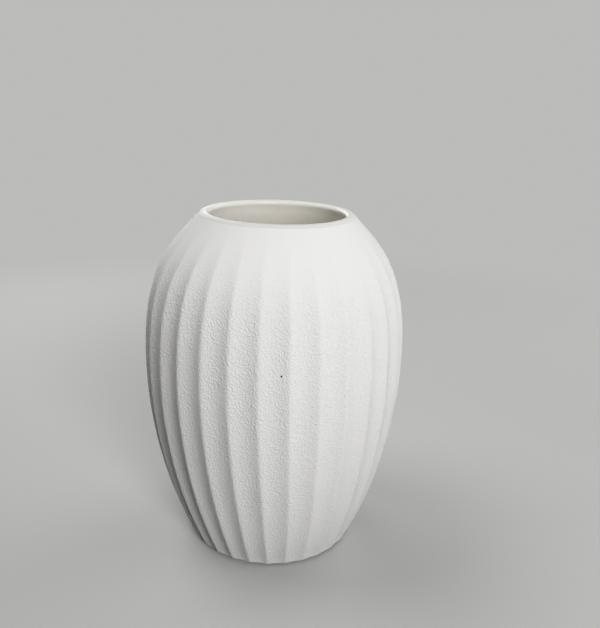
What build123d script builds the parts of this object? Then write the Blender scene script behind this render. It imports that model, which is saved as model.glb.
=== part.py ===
from build123d import *
import os
from math import cos, pi, radians, sin

# Urn vase: a fluted stoneware body, the glaze that lines it, and felt pads under its foot.
# Millimetres, +Z up, origin on the table under the middle of the foot.

# Whole vase
HEIGHT = 250.0            # from the table to the top of the lip
BELLY_DIAMETER = 189.6    # over the arrises at the widest place
BELLY_HEIGHT = 150.0      # of the widest place, above the table
FOOT_DIAMETER = 124.0     # over the arrises, where the wall comes down to the foot's bevel
FOOT_FLARE = 24.0         # degrees that the wall leans out at the foot
COLLAR_SLOPE = 44.0       # degrees that the collar leans in below the lip
COLLAR_DROP = 12.0        # below the top, where the wall's curve has come round to that slope

# Wall, lip and floor
MOUTH_DIAMETER = 97.5     # clear width inside the lip
WALL = 7.0                # from the arrises to the inside, and the thickness of the rounded lip
LIP_LAND = 1.6            # width of the level top of the lip
GLAZE = 0.6               # thickness of the lining, the inner part of the wall
FLOOR = 9.0               # from the underside of the foot up to the inside floor
FLOOR_CORNER = 16.0       # radius between the inside floor and the wall

# Flutes
FLUTE_COUNT = 30
FLUTE_DEPTH = 1.7         # below the chord from arris to arris, at the belly
FLUTE_SWING = 4.4         # degrees that the flutes drift round between the belly and the table
SWING_EASE = 1.5          # power that the drift grows by on the way down
FLUTE_FADE_DROP = 60.0    # below the top, where the flutes start to fade
FLUTE_END_DROP = 7.0      # below the top, where they have gone
FADE_EASE = 1.3           # power that the fading grows by on the way up

# Foot
FOOT_BEVEL = 1.7          # taken off the outer edge of the foot, across
FOOT_BEVEL_RISE = 1.0     # and up
FOOT_RING = 14.0          # width of the flat ring that the pads are stuck to
RECESS_DEPTH = 3.0        # of the underside inside the ring
RECESS_DRAFT = 30.0       # degrees that the recess narrows by

# Felt pads
PAD_COUNT = 4
PAD_DIAMETER = 10.0
PAD_THICKNESS = 1.0
PAD_START = 45.0          # degrees from +X to the first pad

# Rings that the curved walls are built through
OUTSIDE_RINGS = 17
INSIDE_RINGS = 9
LIP_RINGS = 4             # round the inside of the lip

# Places that follow from the sizes, as (radius, height)
LIP_RADIUS = WALL / 2
LIP_CENTRE = Vector(MOUTH_DIAMETER / 2 + LIP_RADIUS, HEIGHT - LIP_RADIUS)
COLLAR_START = HEIGHT - COLLAR_DROP
FLOOR_HEIGHT = PAD_THICKNESS + FLOOR
FOOT_EDGE = FOOT_DIAMETER / 2 - FOOT_BEVEL


def leaning(angle):
    """Direction that leans this many degrees from upright, outwards where the angle is positive."""
    return Vector(sin(radians(angle)), cos(radians(angle)))


def on_lip(angle, radius):
    """Point of the lip's rounding, by the angle round its middle from straight out."""
    return LIP_CENTRE + Vector(cos(radians(angle)), sin(radians(angle))) * radius


def on_collar(inset, height):
    """Point of the straight collar at a height, this far inside its outer face."""
    face = on_lip(COLLAR_SLOPE, LIP_RADIUS - inset)
    up = leaning(-COLLAR_SLOPE)
    return face + up * ((height - face.Y) / up.Y)


def wall_curve(inset):
    """Curve of the wall from foot to collar, this far inside the arrises."""
    tangents = [leaning(FOOT_FLARE), leaning(0), leaning(-COLLAR_SLOPE)]
    on_arris = [
        Vector(FOOT_DIAMETER / 2, PAD_THICKNESS + FOOT_BEVEL_RISE),
        Vector(BELLY_DIAMETER / 2, BELLY_HEIGHT),
        on_collar(0, COLLAR_START),
    ]
    points = [point + Vector(-along.Y, along.X) * inset for point, along in zip(on_arris, tangents)]
    return Spline(*points, tangents=tangents)


def points_along(inset, count):
    """Points spaced along the wall's curve, from foot to collar."""
    with BuildLine() as curve:
        wall_curve(inset)
    return [curve.line @ (number / (count - 1)) for number in range(count)]


def hollow(inset, floor_height):
    """Space inside the wall, up through the mouth, with one flat behind each flute."""
    wall = points_along(inset, INSIDE_RINGS)[1:]
    eased = FLOOR_CORNER * (1 - cos(pi / 4))
    floor = [
        Vector(wall[0].X - FLOOR_CORNER, floor_height),
        Vector(wall[0].X - eased, floor_height + eased),
    ]
    radius = inset - LIP_RADIUS
    lip_step = (90 + COLLAR_SLOPE) / LIP_RINGS
    lip = [on_lip(180 + COLLAR_SLOPE - lip_step * turn, radius) for turn in range(LIP_RINGS)]
    top = Vector(LIP_CENTRE.X - LIP_LAND / 2, LIP_CENTRE.Y + radius)
    right = [*floor, *wall, *lip, top]
    left = [Vector(-place.X, place.Y) for place in reversed(right)]
    opposite_flats = FLUTE_COUNT // 2
    with BuildPart() as space:
        for number in range(opposite_flats):
            across = Plane.XZ.rotated((0, 0, (number + 0.5) * 180 / opposite_flats))
            with BuildSketch(across.offset(-BELLY_DIAMETER / 2)):
                with BuildLine():
                    Polyline(*right, *left, close=True)
                make_face()
            extrude(amount=BELLY_DIAMETER, mode=Mode.INTERSECT if number else Mode.ADD)
    return space.part


def lip_outside(radius):
    """Points of the lip's outer rounding, from the collar up to the level top."""
    middle = (90 + COLLAR_SLOPE) / 2
    top = Vector(LIP_CENTRE.X + LIP_LAND / 2, LIP_CENTRE.Y + radius)
    return [on_lip(COLLAR_SLOPE, radius), on_lip(middle, radius), top]


def fade(height):
    """Share of their depth that the flutes have at a height: all of it, then less and less to the lip."""
    way = (height - HEIGHT + FLUTE_FADE_DROP) / (FLUTE_FADE_DROP - FLUTE_END_DROP)
    return 1 - min(max(way, 0), 1) ** FADE_EASE


def swing(height):
    """Degrees that the arrises have drifted round at a height, nothing above the belly."""
    return FLUTE_SWING * max(1 - height / BELLY_HEIGHT, 0) ** SWING_EASE


def flute_ring(radius, height):
    """Arcs from arris to arris round the body: hollow ones where there are flutes, else a circle."""
    half_pitch = 180 / FLUTE_COUNT
    depth = FLUTE_DEPTH * radius / (BELLY_DIAMETER / 2) + radius * (1 - cos(radians(half_pitch)))
    valley = radius - depth * fade(height)
    for number in range(FLUTE_COUNT):
        start = swing(height) + 2 * half_pitch * number
        ThreePointArc(
            Vector(radius, 0).rotate(Axis.Z, start),
            Vector(valley, 0).rotate(Axis.Z, start + half_pitch),
            Vector(radius, 0).rotate(Axis.Z, start + 2 * half_pitch),
        )


def write_step(piece, name):
    """Label a finished piece and write it under its node's name."""
    piece.label = name
    export_step(piece, f"parts/{name}.step")


os.makedirs("parts", exist_ok=True)
clay_hollow = hollow(WALL - GLAZE, FLOOR_HEIGHT - GLAZE)
glazed_hollow = hollow(WALL, FLOOR_HEIGHT)
clay_lip = lip_outside(LIP_RADIUS - GLAZE)
glazed_lip = lip_outside(LIP_RADIUS)

# Stoneware body
flute_end = on_collar(0, HEIGHT - FLUTE_END_DROP)
with BuildPart() as fluted_body:
    for place in [Vector(FOOT_EDGE, PAD_THICKNESS), *points_along(0, OUTSIDE_RINGS), flute_end]:
        with BuildSketch(Plane.XY.offset(place.Y)):
            with BuildLine():
                flute_ring(place.X, place.Y)
            make_face()
    loft(ruled=True)
    with BuildSketch(Plane.XZ):
        with BuildLine():
            top = clay_lip[-1].Y
            Polyline((0, top), (0, flute_end.Y), flute_end, glazed_lip[0], *clay_lip, close=True)
        make_face()
    revolve(axis=Axis.Z)
    add(clay_hollow, mode=Mode.SUBTRACT)
    with BuildSketch(Plane.XY.offset(PAD_THICKNESS)):
        Circle(FOOT_EDGE - FOOT_RING)
    extrude(amount=RECESS_DEPTH, taper=RECESS_DRAFT, mode=Mode.SUBTRACT)
write_step(fluted_body.part, "fluted_body")

# Glaze inside the body and over its lip
with BuildPart() as glaze_lining:
    add(clay_hollow)
    with BuildSketch(Plane.XZ):
        with BuildLine():
            throat = MOUTH_DIAMETER / 2
            Polyline(
                (throat, clay_lip[-1].Y), *reversed(clay_lip), *glazed_lip, (throat, HEIGHT), close=True
            )
        make_face()
    revolve(axis=Axis.Z)
    add(glazed_hollow, mode=Mode.SUBTRACT)
write_step(glaze_lining.part, "glaze_lining")

# Felt pads
for number in range(PAD_COUNT):
    with BuildPart() as felt_pad:
        with BuildSketch():
            with PolarLocations(FOOT_EDGE - FOOT_RING / 2, 1, PAD_START + number * 360 / PAD_COUNT):
                Circle(PAD_DIAMETER / 2)
        extrude(amount=PAD_THICKNESS)
    write_step(felt_pad.part, f"felt_pad_{number + 1}")
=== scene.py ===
"""Looks of a fluted stoneware urn vase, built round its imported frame.

The vase is a slip-cast body with a sandy matt coat, a satin glaze that lines it and rolls over its lip, and
felt dots under its foot. Lengths are metres and angles are degrees, unless a name says otherwise.
"""

from __future__ import annotations

import logging
import math
from collections.abc import Mapping, Sequence
from dataclasses import dataclass, field
from enum import Enum

import bmesh
import bpy
from mathutils import Matrix, Vector, noise
from mathutils.geometry import interpolate_bezier

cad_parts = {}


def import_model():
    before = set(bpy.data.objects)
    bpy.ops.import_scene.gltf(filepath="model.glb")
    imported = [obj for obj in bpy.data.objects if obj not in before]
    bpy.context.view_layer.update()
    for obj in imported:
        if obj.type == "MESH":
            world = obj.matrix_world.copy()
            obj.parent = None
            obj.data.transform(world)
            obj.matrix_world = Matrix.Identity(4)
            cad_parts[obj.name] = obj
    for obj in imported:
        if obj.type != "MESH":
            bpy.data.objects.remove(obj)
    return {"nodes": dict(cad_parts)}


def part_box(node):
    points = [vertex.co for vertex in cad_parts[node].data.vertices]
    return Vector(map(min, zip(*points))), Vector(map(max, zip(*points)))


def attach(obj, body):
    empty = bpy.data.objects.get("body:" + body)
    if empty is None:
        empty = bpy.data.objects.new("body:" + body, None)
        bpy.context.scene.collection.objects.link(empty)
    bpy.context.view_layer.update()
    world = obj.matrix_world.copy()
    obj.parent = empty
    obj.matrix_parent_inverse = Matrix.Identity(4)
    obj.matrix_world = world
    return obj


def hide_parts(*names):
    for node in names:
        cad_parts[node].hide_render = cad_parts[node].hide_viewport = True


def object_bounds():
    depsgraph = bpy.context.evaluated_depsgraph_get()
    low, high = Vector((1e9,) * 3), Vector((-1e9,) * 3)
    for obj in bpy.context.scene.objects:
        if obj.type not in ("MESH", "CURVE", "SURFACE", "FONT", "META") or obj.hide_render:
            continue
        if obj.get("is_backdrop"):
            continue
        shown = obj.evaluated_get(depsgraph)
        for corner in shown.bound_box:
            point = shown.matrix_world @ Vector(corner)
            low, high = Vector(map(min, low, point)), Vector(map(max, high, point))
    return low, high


LOG = logging.getLogger("urn_vase")
ROOT_BODY = "root"
HOLLOW = "hollow"  # vertex attribute: 0 on an arris, 1 in the middle of a flute
WHOLE_TURN = 2 * math.pi
WELD = 1e-6  # distance within which vertices become one

Colour = tuple[float, float, float]
Band = tuple[float, float]  # values at which a soft step starts and ends


class Slot(Enum):
    """The record's material slots."""

    STONEWARE = "sandy_stoneware"
    GLAZE = "satin_glaze"
    FELT = "grey_felt"


class Socket:
    """An output of a shader's node, with arithmetic that adds Math nodes."""

    def __init__(self, shader: Shader, socket: bpy.types.NodeSocket) -> None:
        """Keep the socket and the shader that it belongs to."""
        self.shader = shader
        self.socket = socket

    def __add__(self, other: Socket | float) -> Socket:
        """This value plus another."""
        return self.shader.math("ADD", self, other)

    def __sub__(self, other: Socket | float) -> Socket:
        """This value less another."""
        return self.shader.math("SUBTRACT", self, other)

    def __rsub__(self, other: float) -> Socket:
        """A number less this value."""
        return self.shader.math("SUBTRACT", other, self)

    def __mul__(self, other: Socket | float) -> Socket:
        """This value times another."""
        return self.shader.math("MULTIPLY", self, other)

    __radd__ = __add__
    __rmul__ = __mul__


Input = Socket | float | Sequence[float]


class Shader:
    """A node tree that is written as expressions."""

    MIX_FACTOR, MIX_FIRST, MIX_SECOND, MIX_RESULT = 0, 6, 7, 2  # a Mix node's sockets for colours
    NOISE_ROUGHNESS = 0.55  # strength of each finer layer of noise

    def __init__(self, owner: bpy.types.Material | bpy.types.World) -> None:
        """Empty the owner's node tree and keep it.

        Args:
            owner: The material or world whose nodes are written.
        """
        owner.use_nodes = True
        self.tree = owner.node_tree
        self.tree.nodes.clear()

    def node(
        self,
        kind: str,
        settings: Mapping[str, object] | None = None,
        sockets: Mapping[str | int, Input] | None = None,
        out: str | int = 0,
    ) -> Socket | None:
        """Add a node.

        Args:
            kind: The node's type, without its ShaderNode prefix.
            settings: Properties of the node, which are set first.
            sockets: Values or links of its inputs, by name or number.
            out: The output that is returned, by name or number.

        Returns:
            The node's output, or None from a node that has none.
        """
        made = self.tree.nodes.new(f"ShaderNode{kind}")
        for name, value in (settings or {}).items():
            setattr(made, name, value)
        for key, value in (sockets or {}).items():
            if isinstance(value, Socket):
                self.tree.links.new(value.socket, made.inputs[key])
            else:
                made.inputs[key].default_value = value
        return Socket(self, made.outputs[out]) if len(made.outputs) else None

    def math(self, operation: str, first: Input, second: Input) -> Socket:
        """Join two values with a Math node of this operation."""
        return self.node("Math", {"operation": operation}, {0: first, 1: second})

    def place(self) -> Socket:
        """The point's own place on the object, in metres."""
        return self.node("TexCoord", out="Object")

    def height(self, place: Socket) -> Socket:
        """How high above the ground a place is."""
        return self.node("SeparateXYZ", None, {"Vector": place}, out="Z")

    def length(self, place: Socket) -> Socket:
        """How far a place is from the origin."""
        return self.node("VectorMath", {"operation": "LENGTH"}, {0: place}, out="Value")

    def noise(self, place: Socket, size: float, detail: float = 2.0, kind: str = "FBM") -> Socket:
        """Add solid noise.

        Args:
            place: Where the noise is read.
            size: About how wide one lump of it is.
            detail: How many finer layers it has.
            kind: How its layers are joined.

        Returns:
            The noise, mostly from 0.25 to 0.75.
        """
        sockets = {"Vector": place, "Scale": 1 / size, "Detail": detail, "Roughness": self.NOISE_ROUGHNESS}
        return self.node("TexNoise", {"noise_type": kind}, sockets)

    def step(self, value: Socket, start: float, end: float) -> Socket:
        """Rise smoothly from 0 where the value is at start to 1 where it is at end."""
        sockets = {"Value": value, "From Min": start, "From Max": end}
        return self.node("MapRange", {"interpolation_type": "SMOOTHSTEP"}, sockets)

    def mix(self, share: Socket, first: Socket | Colour, second: Socket | Colour) -> Socket:
        """Blend from one colour to another.

        Args:
            share: How much of the second colour shows.
            first: The colour at a share of 0.
            second: The colour at a share of 1.

        Returns:
            The blended colour.
        """
        colours = {self.MIX_FIRST: first, self.MIX_SECOND: second}
        inputs = {key: c if isinstance(c, Socket) else (*c, 1.0) for key, c in colours.items()}
        sockets = {self.MIX_FACTOR: share, **inputs}
        return self.node("Mix", {"data_type": "RGBA"}, sockets, out=self.MIX_RESULT)

    def bump(self, height: Socket, depth: float) -> Socket:
        """Tilt the surface by a height that goes from 0 to 1 over this depth."""
        return self.node("Bump", None, {"Height": height, "Distance": depth}, out="Normal")

    def surface(self, **inputs: Input) -> None:
        """Finish a material with a Principled shader.

        Args:
            **inputs: Its inputs, by name, with _ for each space.
        """
        named = {name.replace("_", " "): value for name, value in inputs.items()}
        bsdf = self.node("BsdfPrincipled", None, named)
        self.node("OutputMaterial", None, {"Surface": bsdf})


@dataclass(frozen=True)
class SandyStoneware:
    """White stoneware with a sandy matt coat, bare on the ring that it stands on."""

    # Colours
    coat: Colour = (0.84, 0.835, 0.82)
    # Painted shade in the sand's pits; on the smoothed collar this is the plain colour, and the darker
    # patches blend towards it
    pit_shade_and_collar: Colour = (0.80, 0.795, 0.78)
    bare_clay: Colour = (0.66, 0.60, 0.52)
    speck: Colour = (0.025, 0.023, 0.02)

    # Sand, made of lumps, ridges and round cells
    grain: float = 0.0014
    grain_depth: float = 0.00092
    ridge_scale: float = 1.6
    cell_scale: float = 1.1
    cell_band: Band = (0.1, 0.6)
    lump_share: float = 0.5
    ridge_share: float = 0.25
    cell_share: float = 0.25
    raised_band: Band = (0.25, 0.6)

    # Collar, where the sand is rubbed smooth
    smooth_band: Band = (0.192, 0.240)
    smoothing: float = 0.93

    # Darker patches at random, and darker towards the middle of each flute
    darkening_patch: float = 0.045
    darkening_band: Band = (0.4, 0.75)
    patch_darkening: float = 0.05
    flute_darkening: float = 0.07

    # Bare foot ring and kiln speck
    bare_below: float = 0.0013
    bare_blend: float = 0.0012
    bare_smoothing: float = 0.7
    speck_radius: float = 0.0008
    speck_core: float = 0.6

    # Shine
    roughness: float = 0.93
    raised_polish: float = 0.12
    ior: float = 1.45

    def material(self, speck_place: Vector) -> bpy.types.Material:
        """Make the coat.

        Args:
            speck_place: Where the one dark kiln speck sits.

        Returns:
            The finished material.
        """
        made = bpy.data.materials.new(Slot.STONEWARE.value)
        shader = Shader(made)
        place = shader.place()
        height = shader.height(place)
        relief = self.relief(shader, place)

        sandy = 1 - shader.step(height, *self.smooth_band) * self.smoothing
        raised = shader.step(relief, *self.raised_band) * sandy
        # The sand's pits are painted darker than its raised grains, as painted shade in the pits; where the
        # collar is smoothed, this darker colour covers it plainly
        colour = shader.mix(raised, self.pit_shade_and_collar, self.coat)

        hollow = shader.node("Attribute", {"attribute_name": HOLLOW}, out="Fac")
        # Darker in random patches, and more towards the middle of each flute
        patches = shader.noise(place, self.darkening_patch, detail=3.0)
        darkened = shader.step(patches, *self.darkening_band) * (self.patch_darkening + hollow * self.flute_darkening)
        colour = shader.mix(darkened, colour, self.pit_shade_and_collar)

        bare = 1 - shader.step(height, self.bare_below, self.bare_below + self.bare_blend)
        colour = shader.mix(bare, colour, self.bare_clay)

        away = shader.node(
            "VectorMath", {"operation": "DISTANCE"}, {0: place, 1: speck_place}, out="Value"
        )
        dark = 1 - shader.step(away, self.speck_radius * self.speck_core, self.speck_radius)
        colour = shader.mix(dark, colour, self.speck)

        shader.surface(
            Base_Color=colour,
            Roughness=self.roughness - raised * self.raised_polish,
            Normal=shader.bump(relief * (1 - bare * self.bare_smoothing) * sandy, self.grain_depth),
            IOR=self.ior,
        )
        return made

    def relief(self, shader: Shader, place: Socket) -> Socket:
        """Make the height of the sand.

        Args:
            shader: The coat's shader.
            place: Where the sand is read.

        Returns:
            The height, from 0 to about 1.
        """
        lumps = shader.noise(place, self.grain, detail=3.0)
        ridges = shader.noise(place, self.grain * self.ridge_scale, kind="RIDGED_MULTIFRACTAL")
        scale = 1 / (self.grain * self.cell_scale)
        cells = shader.node("TexVoronoi", None, {"Vector": place, "Scale": scale}, out="Distance")
        grains = 1 - shader.step(cells, *self.cell_band)
        return lumps * self.lump_share + ridges * self.ridge_share + grains * self.cell_share


@dataclass(frozen=True)
class SatinGlaze:
    """Smooth cream-white glaze with a soft shine, duller over the lip, where it is painted darker as
    painted shade.
    """

    # Colours
    thick: Colour = (0.94, 0.925, 0.89)
    thin: Colour = (0.91, 0.89, 0.85)
    # Painted shade over the lip, and deeper painted shade on its crown
    lip_shade: Colour = (0.77, 0.77, 0.73)
    shaded_crown: Colour = (0.70, 0.698, 0.675)

    # Lip, by height, and its crown, by radius
    lip_band: Band = (0.241, 0.2475)
    crown_band: Band = (0.0505, 0.0535)

    # Flow of the glaze and the fine unevenness of its skin
    flow: float = 0.014
    flow_band: Band = (0.3, 0.65)
    flow_depth: float = 0.0004
    skin: float = 0.00175
    skin_relief: float = 0.12

    # Shine
    roughness: float = 0.34
    skin_roughness: float = 0.14
    crown_roughness: float = 0.25
    ior: float = 1.5

    def material(self) -> bpy.types.Material:
        """Make the glaze.

        Returns:
            The finished material.
        """
        made = bpy.data.materials.new(Slot.GLAZE.value)
        shader = Shader(made)
        place = shader.place()
        flow = shader.noise(place, self.flow)
        skin = shader.noise(place, self.skin, detail=1.0)
        colour = shader.mix(shader.step(flow, *self.flow_band), self.thin, self.thick)

        # Painted shade: the glaze over the lip, and more on its crown, is painted darker
        lip = shader.step(shader.height(place), *self.lip_band)
        colour = shader.mix(lip, colour, self.lip_shade)
        level = shader.node("VectorMath", {"operation": "MULTIPLY"}, {0: place, 1: (1, 1, 0)})
        shaded_crown = shader.step(shader.length(level), *self.crown_band) * lip
        colour = shader.mix(shaded_crown, colour, self.shaded_crown)

        shader.surface(
            Base_Color=colour,
            Roughness=self.roughness + skin * self.skin_roughness + shaded_crown * self.crown_roughness,
            Normal=shader.bump(flow + skin * self.skin_relief, self.flow_depth),
            IOR=self.ior,
        )
        return made


@dataclass(frozen=True)
class GreyFelt:
    """Pressed wool felt with tangled fibres."""

    light: Colour = (0.20, 0.19, 0.18)
    dark: Colour = (0.08, 0.076, 0.072)
    fibre: float = 0.00035
    fibre_depth: float = 0.0003
    clump: float = 0.00175
    clump_share: float = 0.5
    shade_band: Band = (0.3, 0.8)
    roughness: float = 0.9
    fibre_roughness: float = 0.08
    sheen: float = 0.3

    def material(self) -> bpy.types.Material:
        """Make the felt.

        Returns:
            The finished material.
        """
        made = bpy.data.materials.new(Slot.FELT.value)
        shader = Shader(made)
        place = shader.place()
        tangle = shader.noise(place, self.fibre, detail=3.0, kind="RIDGED_MULTIFRACTAL")
        clumps = shader.noise(place, self.clump)
        fibres = tangle * (1 - self.clump_share) + clumps * self.clump_share
        shader.surface(
            Base_Color=shader.mix(shader.step(fibres, *self.shade_band), self.dark, self.light),
            Roughness=self.roughness + tangle * self.fibre_roughness,
            Normal=shader.bump(fibres, self.fibre_depth),
            Sheen_Weight=self.sheen,
        )
        return made


@dataclass(frozen=True)
class VaseForm:
    """The shape that the body and its lining share, as outlines of (radius, 0, height)."""

    # From the frame
    height: float
    belly_radius: float
    foot_lift: float

    # Wall, as two curves that meet at the belly; a pull is the length of a curve's handle
    belly_height: float = 0.1446
    foot_radius: float = 0.0632
    foot_lean: float = 25.4
    foot_bevel: float = 0.0017
    foot_bevel_rise: float = 0.001
    collar_lean: float = 44.0
    collar_drop: float = 0.012
    lower_pulls: tuple[float, float] = (0.0535, 0.0406)
    upper_pulls: tuple[float, float] = (0.0430, 0.0344)

    # Lip and inside
    mouth_radius: float = 0.04875
    lip_inner_radius: float = 0.0022
    wall: float = 0.007
    glaze: float = 0.0006
    floor: float = 0.009
    floor_corner: float = 0.016
    floor_corner_turn: float = 70.0
    floor_corner_steps: int = 6
    floor_ring_shares: tuple[float, ...] = (0, 0.35, 0.7)
    corner_softness: float = 0.5
    corner_share: float = 0.8

    # Flutes
    flutes: int = 30
    flute_depth: float = 0.0017
    flute_swing: float = 4.4
    swing_from: float = 0.150
    swing_ease: float = 1.5
    fade_drop: float = 0.060
    flute_end_drop: float = 0.007
    fade_ease: float = 1.3
    foot_fade_rise: float = 0.005
    foot_share: float = 0.45
    foot_wear: float = 0.1

    @property
    def lip_radius(self) -> float:
        """Radius of the lip's rounding."""
        return self.wall / 2

    @property
    def lip_centre(self) -> Vector:
        """Middle of the lip's rounding."""
        return Vector((self.mouth_radius + self.lip_radius, 0, self.height - self.lip_radius))

    @property
    def lip_edge(self) -> Vector:
        """Where the collar comes up to the lip's rounding."""
        return self.on_lip(self.collar_lean, self.lip_radius)

    @property
    def floor_height(self) -> float:
        """Height of the glazed floor above the ground."""
        return self.foot_lift + self.floor

    @staticmethod
    def leaning(angle: float) -> Vector:
        """Direction that leans outwards by this angle from upright."""
        return Vector((math.sin(math.radians(angle)), 0, math.cos(math.radians(angle))))

    def on_lip(self, angle: float, radius: float) -> Vector:
        """Point of the lip's rounding.

        Args:
            angle: Angle round the lip's middle, counted from straight outwards towards straight up.
            radius: Distance from the lip's middle.

        Returns:
            The point.
        """
        turn = math.radians(angle)
        return self.lip_centre + Vector((math.cos(turn), 0, math.sin(turn))) * radius

    def lip_arc(self, start: float, end: float, radius: float, count: int) -> list[Vector]:
        """Points round the lip's middle from one angle to another.

        Args:
            start: First angle.
            end: Last angle.
            radius: Distance from the lip's middle.
            count: How many points there are.

        Returns:
            The points.
        """
        return [self.on_lip(start + (end - start) * i / (count - 1), radius) for i in range(count)]

    def lip_line(self, inset: float, end: float, count: int) -> list[Vector]:
        """Points over the lip, from the inside wall round the tight inner edge and over the top.

        Args:
            inset: How far under the glaze the line lies.
            end: Angle of the outer rounding where the line stops.
            count: How many points the inner edge has, and the outer rounding.

        Returns:
            The points.
        """
        tighter = self.lip_radius - self.lip_inner_radius
        aside = Vector((-tighter, 0, tighter))
        inner = self.lip_arc(180 + self.collar_lean, 90, self.lip_inner_radius - inset, count)
        outer = self.lip_arc(90, end, self.lip_radius - inset, count)
        return [*(point + aside for point in inner), *outer]

    def wall_line(self, inset: float, count: int) -> list[Vector]:
        """Points of the wall from the foot's bevel up to the collar.

        Args:
            inset: How far inside the arrises the line lies.
            count: How many points there are below the belly, and again above it.

        Returns:
            The points.
        """
        up_foot, up_belly, up_collar = (self.leaning(a) for a in (self.foot_lean, 0, -self.collar_lean))
        start_height = self.height - self.collar_drop
        collar = self.lip_edge - up_collar * ((self.lip_edge.z - start_height) / up_collar.z)
        foot = Vector((self.foot_radius, 0, self.foot_lift + self.foot_bevel_rise))
        belly = Vector((self.belly_radius, 0, self.belly_height))
        foot_pull, belly_pull_down = self.lower_pulls
        belly_pull_up, collar_pull = self.upper_pulls
        lower = interpolate_bezier(
            foot, foot + up_foot * foot_pull, belly - up_belly * belly_pull_down, belly, count
        )
        upper = interpolate_bezier(
            belly, belly + up_belly * belly_pull_up, collar - up_collar * collar_pull, collar, count
        )
        line = [*lower, *upper[1:]]
        if not inset:
            return line
        ends = [line[0] - up_foot, *line, line[-1] + up_collar]
        alongs = [(after - before).normalized() for before, after in zip(ends, ends[2:])]
        return [point + Vector((-along.z, 0, along.x)) * inset for point, along in zip(line, alongs)]

    def inside_line(self, inset: float, count: int) -> list[Vector]:
        """Points of the inside from the middle of the floor up to the collar.

        Args:
            inset: How far inside the arrises the wall lies.
            count: How many points the wall has below the belly, and again above it.

        Returns:
            The points.
        """
        floor = self.floor_height - self.wall + inset
        wall = [point for point in self.wall_line(inset, count) if point.z > floor + self.floor_corner]
        middle = Vector((wall[0].x - self.floor_corner, 0, floor + self.floor_corner))
        middle.x -= (wall[1].x - wall[0].x) / (wall[1].z - wall[0].z) * (wall[0].z - middle.z)
        steps = self.floor_corner_steps
        bend = [math.radians(-90 + self.floor_corner_turn * i / steps) for i in range(steps + 1)]
        corner = [
            middle + Vector((math.cos(turn), 0, math.sin(turn))) * self.floor_corner for turn in bend
        ]
        rings = [Vector((corner[0].x * share, 0, floor)) for share in self.floor_ring_shares]
        return [*rings, *corner, *wall]

    def swing(self, height: float) -> float:
        """Angle, in radians, that the flutes have drifted round at a height."""
        below = max(1 - height / self.swing_from, 0)
        return math.radians(self.flute_swing) * below**self.swing_ease

    def fade(self, height: float) -> float:
        """Share of their depth that the flutes have at a height."""
        way = (height - self.height + self.fade_drop) / (self.fade_drop - self.flute_end_drop)
        return 1 - min(max(way, 0), 1) ** self.fade_ease

    def foot_fade(self, height: float) -> float:
        """Share of their depth that the sponged flutes keep at a height just above the foot."""
        way = min(max((height - self.foot_lift) / self.foot_fade_rise, 0), 1)
        return self.foot_share + (1 - self.foot_share) * way * way * (3 - 2 * way)

    def hollowness(self, turn: float, soft: float) -> float:
        """How far into a flute a point is.

        Args:
            turn: Angle in radians round the upright axis from an arris.
            soft: How broadly the arrises are rounded, as a share of half a flute.

        Returns:
            0 on an arris, 1 in the middle of a flute.
        """
        part = turn * self.flutes / WHOLE_TURN % 1
        edge = 2 * min(part, 1 - part)
        eased = (math.hypot(edge, soft) - soft) / (math.hypot(1, soft) - soft)
        return eased * (2 - eased)

    def gather(self, turn: float, share: float) -> float:
        """Move an angle towards the nearest arris, so that the arrises get more vertices.

        Args:
            turn: Angle in radians from an arris.
            share: How strongly the angles are gathered, from 0 to 1.

        Returns:
            The moved angle.
        """
        return turn - share * math.sin(turn * self.flutes) / self.flutes

    def depth(self, radius: float) -> float:
        """Depth of a flute, from its arrises down to its middle, at a radius."""
        sagitta = radius * (1 - math.cos(math.pi / self.flutes))
        return self.flute_depth * radius / self.belly_radius + sagitta

    def behind_arris(self, radius: float, height: float, turn: float) -> float:
        """Draw the round inside out to a soft corner behind each arris.

        Args:
            radius: Radius of the inside in the middle of a flute.
            height: Height of the point.
            turn: Angle in radians round the upright axis from an arris.

        Returns:
            The radius at that angle.
        """
        corner = radius * (1 / math.cos(math.pi / self.flutes) - 1) * self.corner_share
        lift = min(max((height - self.floor_height) / self.floor_corner, 0), 1)
        near = 1 - self.hollowness(turn, self.corner_softness)
        return radius + corner * lift * self.fade(height) * near


def turned(outline: Sequence[Vector], sectors: int, steps: int) -> bmesh.types.BMesh:
    """Spin an outline about the upright axis, one sector first and then round in copies of it.

    Args:
        outline: Points of the outline.
        sectors: How many copies there are round the axis.
        steps: How many faces there are across a sector.

    Returns:
        A skin with its faces outwards.
    """
    mesh = bmesh.new()
    verts = [mesh.verts.new(point) for point in outline]
    edges = [mesh.edges.new(pair) for pair in zip(verts, verts[1:])]
    sector = WHOLE_TURN / sectors
    about = {"axis": (0, 0, 1), "cent": (0, 0, 0)}
    bmesh.ops.spin(mesh, geom=[*verts, *edges], angle=sector, steps=steps, **about)
    first = [*mesh.verts, *mesh.edges, *mesh.faces]
    copies = {"steps": sectors - 1, "use_duplicate": True}
    bmesh.ops.spin(mesh, geom=first, angle=WHOLE_TURN - sector, **copies, **about)
    bmesh.ops.remove_doubles(mesh, verts=mesh.verts[:], dist=WELD)
    bmesh.ops.recalc_face_normals(mesh, faces=mesh.faces[:])
    return mesh


def finished(
    mesh: bmesh.types.BMesh, name: str, material: bpy.types.Material, crease: float
) -> bpy.types.Object:
    """Turn a bmesh into a piece of the vase.

    Args:
        mesh: The shape, which is freed.
        name: The piece's name.
        material: Its finish.
        crease: Angle from which an edge stays sharp.

    Returns:
        The piece, riding on the vase.
    """
    data = bpy.data.meshes.new(name)
    mesh.to_mesh(data)
    mesh.free()
    data.shade_smooth()
    data.set_sharp_from_angle(angle=math.radians(crease))
    data.materials.append(material)
    piece = bpy.data.objects.new(name, data)
    bpy.context.scene.collection.objects.link(piece)
    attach(piece, ROOT_BODY)
    return piece


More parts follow.
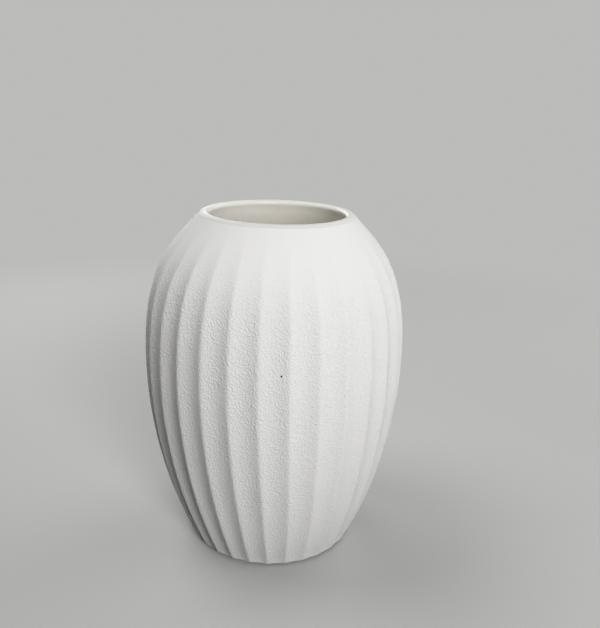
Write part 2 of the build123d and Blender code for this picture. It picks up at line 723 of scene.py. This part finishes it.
@dataclass
class FlutedBody:
    """The cast stoneware wall with its flutes, collar and recessed foot."""

    FOOT_CORNERS = slice(1, 5)  # points of the outline from the recess's ceiling out to the wall

    form: VaseForm
    finish: SandyStoneware = field(default_factory=SandyStoneware)

    # Foot
    foot_ring: float = 0.014
    recess_depth: float = 0.003
    recess_draft: float = 30.0
    edge_rounding: float = 0.0006
    edge_segments: int = 3

    # Mesh
    columns: int = 16
    rings: int = 67
    collar_rings: int = 8
    lip_rings: int = 6
    inside_rings: int = 15
    gathering: float = 0.5
    crease: float = 60.0

    # Kiln speck
    speck_turn: float = -87.25
    speck_height: float = 0.1628

    # Pits of the sandy coat, in lumps and finer lumps
    sand_lump: float = 0.0042
    sand_relief: float = 0.00022
    sand_finer: float = 1.9
    sand_finer_share: float = 0.5
    sand_margin: float = 0.004
    sand_end_drop: float = 0.003

    # Arrises, worn unevenly, and the wander of the flutes
    arris_softness: float = 0.14
    arris_wear: float = 0.08
    arris_wear_lump: float = 0.06
    wander_lump: float = 0.05
    wander: float = 0.12

    def outline(self) -> list[Vector]:
        """Draw the section of the body.

        Returns:
            Points from the middle of the underside, up the outside and down the inside to the floor.
        """
        form = self.form
        under = form.foot_lift
        foot_edge = form.foot_radius - form.foot_bevel
        recess = foot_edge - self.foot_ring
        ceiling = under + self.recess_depth
        draft = self.recess_depth * math.tan(math.radians(self.recess_draft))
        foot = [(0, ceiling), (recess - draft, ceiling), (recess, under), (foot_edge, under)]
        outside = form.wall_line(0, self.rings)
        shares = [i / self.collar_rings for i in range(1, self.collar_rings + 1)]
        collar = [outside[-1].lerp(form.lip_edge, share) for share in shares]
        clay_lip = reversed(form.lip_line(form.glaze, form.collar_lean, self.lip_rings))
        inside = form.inside_line(form.wall - form.glaze, self.inside_rings)
        return [*(Vector((x, 0, z)) for x, z in foot), *outside, *collar, *clay_lip, *reversed(inside)]

    def eased_outline(self) -> list[Vector]:
        """Round the corners of the foot.

        Returns:
            The outline's points, with more of them at those corners.
        """
        mesh = bmesh.new()
        verts = [mesh.verts.new(point) for point in self.outline()]
        for pair in zip(verts, verts[1:]):
            mesh.edges.new(pair)
        bmesh.ops.bevel(
            mesh, geom=verts[self.FOOT_CORNERS], offset=self.edge_rounding, offset_type="OFFSET",
            affect="VERTICES", segments=self.edge_segments, profile=0.5, material=-1,
        )
        ends = [vert for vert in mesh.verts if len(vert.link_edges) == 1]
        vert = min(ends, key=lambda end: end.co.z)
        walked, edge = [vert.co.copy()], None
        while ahead := [link for link in vert.link_edges if link is not edge]:
            edge = ahead[0]
            vert = edge.other_vert(vert)
            walked.append(vert.co.copy())
        mesh.free()
        return walked

    def build(self) -> bpy.types.Object:
        """Make the body.

        Returns:
            The piece that stands for its node.
        """
        form = self.form
        mesh = turned(self.eased_outline(), form.flutes, self.columns)
        hollow_layer = mesh.verts.layers.float.new(HOLLOW)
        outside = form.wall_line(0, self.rings)
        for vert in mesh.verts:
            radius = math.hypot(vert.co.x, vert.co.y)
            height = vert.co.z
            turn = form.gather(math.atan2(vert.co.y, vert.co.x), self.gathering)
            hollow = form.hollowness(turn, self.softness(vert.co)) * form.fade(height)
            vert[hollow_layer] = hollow
            if radius > self.outer_radius(outside, height) - form.wall / 2:
                kept = form.foot_fade(height)
                radius -= form.depth(radius) * (hollow * kept + (1 - kept) * form.foot_wear)
                radius -= self.sand(vert.co, height)
            else:
                radius = form.behind_arris(radius, height, turn)
            turn += form.swing(height) + math.radians(self.wander) * noise.noise(vert.co / self.wander_lump)
            vert.co = Vector((radius * math.cos(turn), radius * math.sin(turn), height))
        material = self.finish.material(self.speck_place(outside))
        piece = finished(mesh, "fluted_body_coat", material, self.crease)
        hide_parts("fluted_body")
        return piece

    def outer_radius(self, outside: Sequence[Vector], height: float) -> float:
        """Radius of the outside at a height.

        Args:
            outside: Points of the wall, from the foot up to the collar.
            height: The height.

        Returns:
            The radius.
        """
        if height <= outside[0].z:
            return outside[0].x - self.form.foot_bevel
        if height >= outside[-1].z:
            share = (height - outside[-1].z) / (self.form.height - outside[-1].z)
            return outside[-1].x + (self.form.lip_centre.x - outside[-1].x) * share
        low, high = 0, len(outside) - 1
        while high - low > 1:
            middle = (low + high) // 2
            low, high = (middle, high) if outside[middle].z <= height else (low, middle)
        share = (height - outside[low].z) / (outside[high].z - outside[low].z)
        return outside[low].x + (outside[high].x - outside[low].x) * share

    def softness(self, place: Vector) -> float:
        """How broadly the arrises are rounded at a place, where the cast was sponged more or less."""
        return self.arris_softness + self.arris_wear * noise.noise(place / self.arris_wear_lump)

    def sand(self, place: Vector, height: float) -> float:
        """Depth of the sandy coat's larger pits, none at the foot's edge and the lip.

        Args:
            place: The place on the body before it is fluted.
            height: The place's height.

        Returns:
            The depth.
        """
        edge = min(height - self.form.foot_lift, self.form.height - self.sand_end_drop - height)
        share = min(max(edge / self.sand_margin, 0), 1)
        spot = place / self.sand_lump
        lump = noise.noise(spot) + self.sand_finer_share * noise.noise(spot * self.sand_finer)
        reach = 1 + self.sand_finer_share
        return self.sand_relief * share * (lump + reach) / (2 * reach)

    def speck_place(self, outside: Sequence[Vector]) -> Vector:
        """Find where the kiln speck sits.

        Args:
            outside: Points of the wall, from the foot up to the collar.

        Returns:
            The place, on the fluted outside.
        """
        form = self.form
        turn = math.radians(self.speck_turn)
        radius = self.outer_radius(outside, self.speck_height)
        hollow = form.hollowness(turn - form.swing(self.speck_height), self.arris_softness)
        radius -= form.depth(radius) * hollow
        return Vector((radius * math.cos(turn), radius * math.sin(turn), self.speck_height))


@dataclass
class GlazeLining:
    """The glaze that lines the body and rolls over its lip."""

    form: VaseForm
    finish: SatinGlaze = field(default_factory=SatinGlaze)

    # Mesh
    columns: int = 8
    rings: int = 26
    lip_rings: int = 15
    edge_rings: int = 3
    hidden_rings: int = 15
    hidden_lip_rings: int = 6
    crease: float = 60.0

    # Edge over the lip: angles above the collar, then the lap down the collar
    lip_stop: float = 14.0
    edge_start: float = 7.0
    lap: float = 0.0012
    lap_wander: float = 0.0007
    lap_lump: float = 0.011
    proud: float = 0.00004

    # How the lap thins out: shares of its length, and how many times proud it has sunk there
    feather: tuple[tuple[float, float], ...] = ((0.6, 0.0), (0.9, 0.4), (1.0, 1.6))

    def outline(self) -> list[Vector]:
        """Draw the section of the lining.

        Returns:
            Points from the middle of the floor up to the lip, over it and back under the glaze.
        """
        form = self.form
        lean = form.collar_lean
        inside = form.inside_line(form.wall, self.rings)
        lip = form.lip_line(0, lean + self.lip_stop, self.lip_rings)
        edge = form.lip_arc(lean + self.edge_start, lean, form.lip_radius + self.proud, self.edge_rings)
        down = form.leaning(-lean) * -self.lap
        out = edge[-1] - form.lip_edge
        feather = [edge[-1] + down * along - out * sunk for along, sunk in self.feather]
        under = reversed(form.lip_line(form.glaze, lean, self.hidden_lip_rings))
        behind = form.inside_line(form.wall - form.glaze, self.hidden_rings)
        return [*inside, *lip, *edge, *feather, *under, *reversed(behind)]

    def build(self) -> bpy.types.Object:
        """Make the lining.

        Returns:
            The piece that stands for its node.
        """
        form = self.form
        mesh = turned(self.outline(), form.flutes, self.columns)
        lip_edge = form.lip_edge
        down = form.leaning(-form.collar_lean) * -1
        for vert in mesh.verts:
            radius = math.hypot(vert.co.x, vert.co.y)
            height = vert.co.z
            turn = math.atan2(vert.co.y, vert.co.x)
            if radius > form.lip_centre.x and abs(height - lip_edge.z) < 2 * self.lap:
                past = (lip_edge.z - height) / -down.z
                way = noise.noise(Vector((math.cos(turn), math.sin(turn), 0)) * radius / self.lap_lump)
                moved = down * max(past, 0) / self.lap * way * self.lap_wander
                radius += moved.x
                height += moved.z
            else:
                radius = form.behind_arris(radius, height, turn)
            turn += form.swing(height)
            vert.co = Vector((radius * math.cos(turn), radius * math.sin(turn), height))
        piece = finished(mesh, "glaze_lining_skin", self.finish.material(), self.crease)
        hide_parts("glaze_lining")
        return piece


@dataclass
class FeltDots:
    """The felt dots that are stuck under the foot."""

    nodes: Sequence[str]
    finish: GreyFelt = field(default_factory=GreyFelt)
    sides: int = 56
    rim: float = 0.00022
    rim_rings: int = 3
    face_rings: int = 6
    face_ring_share: float = 0.0625
    fray: float = 0.00012
    fray_lump: float = 0.0007
    crease: float = 70.0
    fill: float = 0.9

    def build(self) -> list[bpy.types.Object]:
        """Make a dot for each of the frame's pads.

        Returns:
            The dots.
        """
        material = self.finish.material()
        return [self.dot(node, material) for node in self.nodes]

    def faces(self, mesh: bmesh.types.BMesh) -> list[bmesh.types.BMFace]:
        """The flat faces at the top and bottom of a dot."""
        return [face for face in mesh.faces if len(face.verts) == self.sides]

    def dot(self, node: str, material: bpy.types.Material) -> bpy.types.Object:
        """Make one dot.

        Args:
            node: The pad that it stands for.
            material: Its felt.

        Returns:
            The dot.
        """
        low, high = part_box(node)
        middle, size = (low + high) / 2, high - low
        radius = size.x / 2
        mesh = bmesh.new()
        bmesh.ops.create_cone(
            mesh, cap_ends=True, segments=self.sides, radius1=radius, radius2=radius, depth=size.z
        )
        rims = [edge for face in self.faces(mesh) for edge in face.edges]
        bmesh.ops.bevel(
            mesh, geom=rims, offset=self.rim, offset_type="OFFSET", affect="EDGES",
            segments=self.rim_rings, profile=0.5, material=-1,
        )
        for _ in range(self.face_rings):
            bmesh.ops.inset_region(mesh, faces=self.faces(mesh), thickness=size.x * self.face_ring_share)
        for vert in mesh.verts:
            tuft = (noise.noise((vert.co + middle) / self.fray_lump) + 1) / 2
            inward = Vector((-vert.co.x, -vert.co.y, 0)).normalized()
            on_rim = vert.co.xy.length > radius - 2 * self.rim
            vert.co += inward * (self.fray * tuft if on_rim else 0)
        bmesh.ops.translate(mesh, verts=mesh.verts[:], vec=middle)
        piece = finished(mesh, f"{node}_felt", material, self.crease)
        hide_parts(node)
        return piece


@dataclass(frozen=True)
class PhotoCamera:
    """The photograph's viewpoint, solved from the vase's outline in its own frame of pixels."""

    frame_height_px: int = 628
    focal_px: float = 700.0
    sensor_mm: float = 36.0
    distance: float = 0.4938
    eye_height: float = 0.333
    turn: float = -0.1
    yaw: float = 2.116
    pitch: float = 17.84
    roll: float = 1.95
    clip_start: float = 0.01

    def build(self) -> bpy.types.Object:
        """Make the camera.

        Returns:
            The scene's camera.
        """
        data = bpy.data.cameras.new("photo_camera")
        data.sensor_width = self.sensor_mm
        data.lens = self.focal_px * self.sensor_mm / self.frame_height_px
        data.clip_start = self.clip_start
        camera = bpy.data.objects.new("photo_camera", data)
        steps = [
            Matrix.Rotation(math.radians(self.turn), 4, "Z"),
            Matrix.Translation((0, -self.distance, self.eye_height)),
            Matrix.Rotation(math.radians(-self.yaw), 4, "Z"),
            Matrix.Rotation(math.radians(90 - self.pitch), 4, "X"),
            Matrix.Rotation(math.radians(self.roll), 4, "Z"),
        ]
        place = Matrix.Identity(4)
        for step in steps:
            place = place @ step
        camera.matrix_world = place
        bpy.context.scene.collection.objects.link(camera)
        bpy.context.scene.camera = camera
        return camera


@dataclass(frozen=True)
class Softbox:
    """A round white lamp that looks at the middle of the vase."""

    name: str
    azimuth: float
    elevation: float
    width: float
    watts: float
    distance: float = 1.1

    def build(self, target: Vector) -> bpy.types.Object:
        """Make the lamp.

        Args:
            target: The point that it looks at.

        Returns:
            The lamp.
        """
        data = bpy.data.lights.new(self.name, "AREA")
        data.shape = "DISK"
        data.size = self.width
        data.energy = self.watts
        lamp = bpy.data.objects.new(self.name, data)
        side, lift = math.radians(self.azimuth), math.radians(self.elevation)
        back = Vector(
            (math.cos(side) * math.cos(lift), math.sin(side) * math.cos(lift), math.sin(lift))
        )
        lamp.location = target + back * self.distance
        lamp.rotation_mode = "QUATERNION"
        lamp.rotation_quaternion = (-back).to_track_quat("-Z", "Y")
        bpy.context.scene.collection.objects.link(lamp)
        return lamp


@dataclass
class Studio:
    """A pale floor, soft light, and a plain backdrop all round."""

    middle: Vector
    floor_radius: float = 2.5
    floor_sides: int = 96
    felt_clearance: float = 0.00003
    melt_band: Band = (0.35, 1.0)
    floor_shown: Colour = (0.50, 0.50, 0.495)
    floor_bounced: Colour = (0.08, 0.079, 0.077)
    sky: Colour = (0.015, 0.015, 0.015)
    backdrop: Colour = (0.50, 0.50, 0.495)
    light_bounces: int = 12
    lamps: Sequence[Softbox] = (
        Softbox("key_softbox", azimuth=-72, elevation=20, width=0.45, watts=9.4),
        Softbox("top_softbox", azimuth=168, elevation=62, width=0.7, watts=5.3),
        Softbox("rim_softbox", azimuth=40, elevation=30, width=0.8, watts=4.2),
        Softbox("low_softbox", azimuth=0, elevation=2, width=0.6, watts=2.8),
        Softbox("back_softbox", azimuth=118, elevation=22, width=0.8, watts=5.5),
    )

    @staticmethod
    def seen(shader: Shader) -> Socket:
        """Tell the rays that see a surface from those that only carry its light.

        Args:
            shader: The shader that asks.

        Returns:
            1 where the camera looks, straight, by way of a shine or through glass, and 0 for other light.
        """
        kinds = ("Is Camera Ray", "Is Glossy Ray", "Is Transmission Ray")
        camera, glossy, through = (shader.node("LightPath", out=kind) for kind in kinds)
        return shader.step(camera + glossy + through, 0, 1)

    def build(self) -> None:
        """Make the floor, the world and the lamps."""
        self.floor()
        self.world()
        for lamp in self.lamps:
            lamp.build(self.middle)

    def floor(self) -> bpy.types.Object:
        """Make the floor, a hair below the felt so that their faces don't coincide.

        Returns:
            The floor, marked as stage.
        """
        mesh = bmesh.new()
        bmesh.ops.create_circle(mesh, cap_ends=True, segments=self.floor_sides, radius=self.floor_radius)
        bmesh.ops.translate(mesh, verts=mesh.verts[:], vec=(0, 0, -self.felt_clearance))
        data = bpy.data.meshes.new("floor")
        mesh.to_mesh(data)
        mesh.free()
        data.materials.append(self.floor_paint())
        floor = bpy.data.objects.new("floor", data)
        bpy.context.scene.collection.objects.link(floor)
        floor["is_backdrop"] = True
        return floor

    def floor_paint(self) -> bpy.types.Material:
        """Make the floor's paint, which melts into the backdrop away from the vase.

        Returns:
            The finished material.
        """
        made = bpy.data.materials.new("pale_floor")
        shader = Shader(made)
        seen = self.seen(shader)
        colour = shader.mix(seen, self.floor_bounced, self.floor_shown)
        lit = shader.node("BsdfDiffuse", None, {"Color": colour})
        plain = shader.node("Emission", None, {"Color": (*self.backdrop, 1.0)})
        melt = seen * shader.step(shader.length(shader.place()), *self.melt_band)
        paint = shader.node("MixShader", None, {0: melt, 1: lit, 2: plain})
        shader.node("OutputMaterial", None, {"Surface": paint})
        return made

    def world(self) -> None:
        """Light the vase softly from all of the sky, with enough bounces to reach down inside it."""
        world = bpy.data.worlds.new("studio_sky")
        shader = Shader(world)
        colour = shader.mix(self.seen(shader), self.sky, self.backdrop)
        light = shader.node("Background", None, {"Color": colour, "Strength": 1.0})
        shader.node("OutputWorld", None, {"Surface": light})
        bpy.context.scene.world = world
        bpy.context.scene.cycles.diffuse_bounces = self.light_bounces


def main() -> None:
    """Dress the frame and set it in the studio."""
    logging.basicConfig(level=logging.INFO, format="%(name)s: %(message)s")
    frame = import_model()
    cad_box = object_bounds()
    low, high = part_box("fluted_body")
    form = VaseForm(
        height=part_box("glaze_lining")[1].z, belly_radius=(high.x - low.x) / 2, foot_lift=low.z
    )
    pads = sorted(name for name in frame["nodes"] if name.startswith("felt_pad"))
    pieces = [FlutedBody(form).build(), GlazeLining(form).build(), *FeltDots(pads).build()]
    for piece in pieces:
        LOG.info("%s: %d faces", piece.name, len(piece.data.polygons))
    PhotoCamera().build()
    Studio(middle=(cad_box[0] + cad_box[1]) / 2).build()
    bpy.context.scene.view_settings.view_transform = "Standard"


if __name__ == "__main__":
    main()
